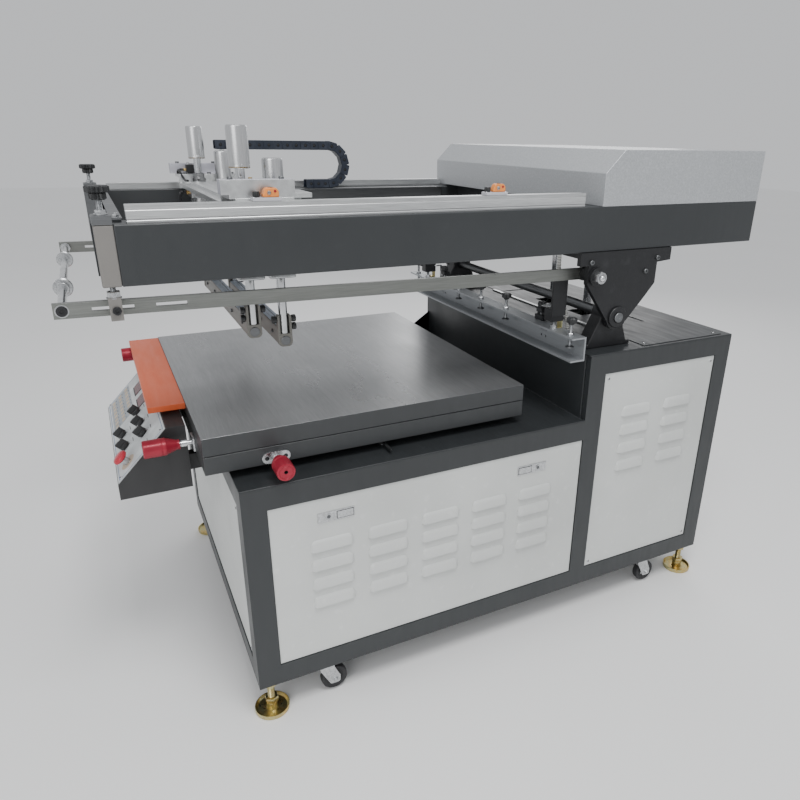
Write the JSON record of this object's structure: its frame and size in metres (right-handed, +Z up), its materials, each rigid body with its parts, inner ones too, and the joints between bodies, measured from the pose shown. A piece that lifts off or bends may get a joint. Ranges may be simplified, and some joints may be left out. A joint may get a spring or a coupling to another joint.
{
  "type": "screen printing press",
  "caption": "Flatbed screen printing press: louvred cabinet, level printing table, and a tilting arm head that holds the screen over it and draws a squeegee across",
  "frame": {"origin": "on the floor, under the middle of the machine", "axes": "+X to the operator's right, +Y from the operator to the head's pivot, +Z up"},
  "size_m": [1.109, 1.9338, 1.493],
  "materials": {
    "frame_paint": "fine texture, dark charcoal grey",
    "panel_paint": "pale grey, fine texture",
    "cover_paint": "silver hammertone",
    "black_castings": "black painted casting",
    "yellow_zinc": "yellow zinc plated",
    "bright_zinc": "bright zinc plated",
    "bright_steel": "polished",
    "bare_aluminium": "satin anodised",
    "table_steel": "brushed table plate",
    "table_paint": "dark grey",
    "ledge_paint": "orange, semi gloss",
    "wheel_rubber": "black",
    "box_paint": "black, fine texture",
    "fascia_film": "printed film, no lettering",
    "black_plastic": "moulded",
    "stop_red": "moulded red",
    "knob_red": "dark red, knurled",
    "sensor_orange": "moulded orange",
    "chain_plastic": "navy black links",
    "loom_wrap": "white spiral wrap"
  },
  "bodies": {
    "base": {"base_frame": "frame_paint", "deck_plates": "frame_paint", "side_panels": "panel_paint", "end_panels": "panel_paint", "door_latches": "bright_zinc", "caster_forks_rear": "bright_zinc", "control_box": "box_paint", "control_fascia": "fascia_film", "pivot_pedestals": "black_castings", "table_slide_base": "bright_zinc"},
    "foot_front_right": {"foot_front_right": "yellow_zinc"},
    "foot_front_left": {"foot_front_left": "yellow_zinc"},
    "foot_rear_right": {"foot_rear_right": "yellow_zinc"},
    "foot_rear_left": {"foot_rear_left": "yellow_zinc"},
    "caster_front_right": {"caster_fork_front_right": "bright_zinc"},
    "caster_front_left": {"caster_fork_front_left": "bright_zinc"},
    "wheel_front_right": {"wheel_front_right": "wheel_rubber"},
    "wheel_front_left": {"wheel_front_left": "wheel_rubber"},
    "wheel_rear_right": {"wheel_rear_right": "wheel_rubber"},
    "wheel_rear_left": {"wheel_rear_left": "wheel_rubber"},
    "stop_button": {"estop_button": "stop_red"},
    "selector_1": {"selector_1": "black_plastic"},
    "selector_2": {"selector_2": "black_plastic"},
    "selector_3": {"selector_3": "black_plastic"},
    "selector_4": {"selector_4": "black_plastic"},
    "selector_5": {"selector_5": "black_plastic"},
    "clamp_lever": {"table_clamp": "black_plastic"},
    "table_y": {"table_carriage": "bright_zinc"},
    "table_x": {"table_core": "table_paint", "table_top": "table_steel", "guard_ledge": "ledge_paint", "knob_brackets": "bright_zinc"},
    "x_knob": {"x_knob": "knob_red"},
    "y_knob_right": {"y_knob_right": "knob_red"},
    "y_knob_left": {"y_knob_left": "knob_red"},
    "head": {"arm_right": "frame_paint", "arm_left": "frame_paint", "head_beams": "frame_paint", "rear_cover": "cover_paint", "arm_rails": "bare_aluminium", "limit_sensors": "sensor_orange", "pivot_brackets": "black_castings", "pivot_shaft": "bright_steel", "front_posts": "bright_zinc", "drag_chain": "chain_plastic", "head_loom": "loom_wrap"},
    "lift_tubes": {"lift_tubes": "bare_aluminium"},
    "lift_rods": {"lift_rods": "bright_steel"},
    "carrier": {"holder_bars": "bare_aluminium", "frame_channel": "bare_aluminium", "channel_hangers": "bright_zinc", "front_cross_rod": "bright_steel"},
    "lift_screw_right": {"lift_screw_right": "black_plastic"},
    "lift_screw_left": {"lift_screw_left": "black_plastic"},
    "clamp_screws": {"clamp_screws": "black_plastic"},
    "carriage": {"carriage_frame": "bare_aluminium", "air_cylinders": "bare_aluminium"},
    "squeegee": {"squeegee_holder": "bare_aluminium"},
    "flood_bar": {"flood_holder": "bare_aluminium"}
  },
  "joints": [
    {"name": "foot_front_right_screw", "type": "slide", "parent": "base", "child": "foot_front_right", "axis": [0, 0, -1], "range_m": [0, 0.03]},
    {"name": "foot_rear_right_screw", "type": "slide", "parent": "base", "child": "foot_rear_right", "axis": [0, 0, -1], "range_m": [0, 0.03]},
    {"name": "foot_front_left_screw", "type": "slide", "parent": "base", "child": "foot_front_left", "axis": [0, 0, -1], "range_m": [0, 0.03]},
    {"name": "foot_rear_left_screw", "type": "slide", "parent": "base", "child": "foot_rear_left", "axis": [0, 0, -1], "range_m": [0, 0.03]},
    {"name": "caster_front_right_swivel", "type": "hinge", "parent": "base", "child": "caster_front_right", "pos_m": [0.5, -0.47, 0.09], "axis": [0, 0, 1], "continuous": true},
    {"name": "wheel_front_right_spin", "type": "hinge", "parent": "caster_front_right", "child": "wheel_front_right", "pos_m": [0.5, -0.448, 0.0415], "axis": [1, 0, 0], "continuous": true},
    {"name": "wheel_rear_right_spin", "type": "hinge", "parent": "base", "child": "wheel_rear_right", "pos_m": [0.5, 0.71, 0.0415], "axis": [1, 0, 0], "continuous": true},
    {"name": "caster_front_left_swivel", "type": "hinge", "parent": "base", "child": "caster_front_left", "pos_m": [-0.5, -0.47, 0.09], "axis": [0, 0, 1], "continuous": true},
    {"name": "wheel_front_left_spin", "type": "hinge", "parent": "caster_front_left", "child": "wheel_front_left", "pos_m": [-0.5, -0.448, 0.0415], "axis": [1, 0, 0], "continuous": true},
    {"name": "wheel_rear_left_spin", "type": "hinge", "parent": "base", "child": "wheel_rear_left", "pos_m": [-0.5, 0.71, 0.0415], "axis": [1, 0, 0], "continuous": true},
    {"name": "stop_press", "type": "slide", "parent": "base", "child": "stop_button", "axis": [0, 0.7178, -0.6962], "range_m": [0, 0.005], "stiffness_N_per_m": 900, "springref_m": -0.002},
    {"name": "selector_1_turn", "type": "hinge", "parent": "base", "child": "selector_1", "pos_m": [0.013, -0.83102, 0.7334], "axis": [0, -0.7178, 0.6962], "range_deg": [-45, 45]},
    {"name": "selector_2_turn", "type": "hinge", "parent": "base", "child": "selector_2", "pos_m": [0.105, -0.82824, 0.73627], "axis": [0, -0.7178, 0.6962], "range_deg": [-45, 45]},
    {"name": "selector_3_turn", "type": "hinge", "parent": "base", "child": "selector_3", "pos_m": [0.18, -0.82824, 0.73627], "axis": [0, -0.7178, 0.6962], "range_deg": [-45, 45]},
    {"name": "selector_4_turn", "type": "hinge", "parent": "base", "child": "selector_4", "pos_m": [0.051, -0.87558, 0.68746], "axis": [0, -0.7178, 0.6962], "range_deg": [-45, 45]},
    {"name": "selector_5_turn", "type": "hinge", "parent": "base", "child": "selector_5", "pos_m": [0.137, -0.87419, 0.68889], "axis": [0, -0.7178, 0.6962], "range_deg": [-45, 45]},
    {"name": "clamp_lever_turn", "type": "hinge", "parent": "base", "child": "clamp_lever", "pos_m": [0.43, -0.26, 0.71], "axis": [0, 0, 1], "range_deg": [-90, 90]},
    {"name": "table_y_move", "type": "slide", "parent": "base", "child": "table_y", "axis": [0, 1, 0], "range_m": [-0.01, 0.01]},
    {"name": "table_x_move", "type": "slide", "parent": "table_y", "child": "table_x", "axis": [1, 0, 0], "range_m": [-0.008, 0.008]},
    {"name": "x_knob_turn", "type": "hinge", "parent": "table_x", "child": "x_knob", "pos_m": [0.5, -0.553, 0.742], "axis": [1, 0, 0], "range_deg": [-580, 580]},
    {"name": "y_knob_right_turn", "type": "hinge", "parent": "table_x", "child": "y_knob_right", "pos_m": [0.318, -0.8, 0.752], "axis": [0, 1, 0], "range_deg": [-725, 725]},
    {"name": "y_knob_left_turn", "type": "hinge", "parent": "table_x", "child": "y_knob_left", "pos_m": [-0.44, -0.8, 0.775], "axis": [0, 1, 0], "range_deg": [-725, 725]},
    {"name": "head_tilt", "type": "hinge", "parent": "base", "child": "head", "pos_m": [0, 0.452, 0.996], "axis": [-1, 0, 0], "range_deg": [0, 20], "deforming": ["head_loom"]},
    {"name": "lift_tube_lean", "type": "hinge", "parent": "base", "child": "lift_tubes", "pos_m": [0, 0.67, 0.33], "axis": [-1, 0, 0], "range_deg": [0, 3.7]},
    {"name": "lift_rod_swing", "type": "hinge", "parent": "head", "child": "lift_rods", "pos_m": [0, 0.67, 1.175], "axis": [-1, 0, 0], "range_deg": [-16.5, 0]},
    {"name": "carrier_tilt", "type": "hinge", "parent": "head", "child": "carrier", "pos_m": [0, 0.36, 1.12], "axis": [-1, 0, 0], "range_deg": [-1.9, 0]},
    {"name": "lift_screw_right_turn", "type": "hinge", "parent": "head", "child": "lift_screw_right", "pos_m": [0.478, -0.851, 1.3], "axis": [0, 0, 1], "range_deg": [-3650, 0]},
    {"name": "lift_screw_left_turn", "type": "hinge", "parent": "head", "child": "lift_screw_left", "pos_m": [-0.478, -0.851, 1.3], "axis": [0, 0, 1], "range_deg": [-3650, 0]},
    {"name": "clamp_down", "type": "slide", "parent": "carrier", "child": "clamp_screws", "axis": [0, 0, -1], "range_m": [0, 0.024]},
    {"name": "carriage_travel", "type": "slide", "parent": "head", "child": "carriage", "axis": [0, 1, 0], "range_m": [0, 0.56], "deforming": ["drag_chain"]},
    {"name": "squeegee_down", "type": "slide", "parent": "carriage", "child": "squeegee", "axis": [0, 0, -1], "range_m": [0, 0.069]},
    {"name": "flood_up", "type": "slide", "parent": "carriage", "child": "flood_bar", "axis": [0, 0, 1], "range_m": [0, 0.069]}
  ],
  "couplings": [
    {"joint": "x_knob_turn", "follows": "table_x_move", "rad_per_m": 1256.6},
    {"joint": "y_knob_right_turn", "follows": "table_y_move", "rad_per_m": 1256.6},
    {"joint": "y_knob_left_turn", "follows": "table_y_move", "rad_per_m": 1256.6},
    {"joint": "lift_tube_lean", "follows": "head_tilt", "ratio": 0.181},
    {"joint": "lift_rod_swing", "follows": "head_tilt", "ratio": -0.819},
    {"joint": "lift_screw_right_turn", "follows": "carrier_tilt", "ratio": 1916},
    {"joint": "lift_screw_left_turn", "follows": "carrier_tilt", "ratio": 1916}
  ]
}
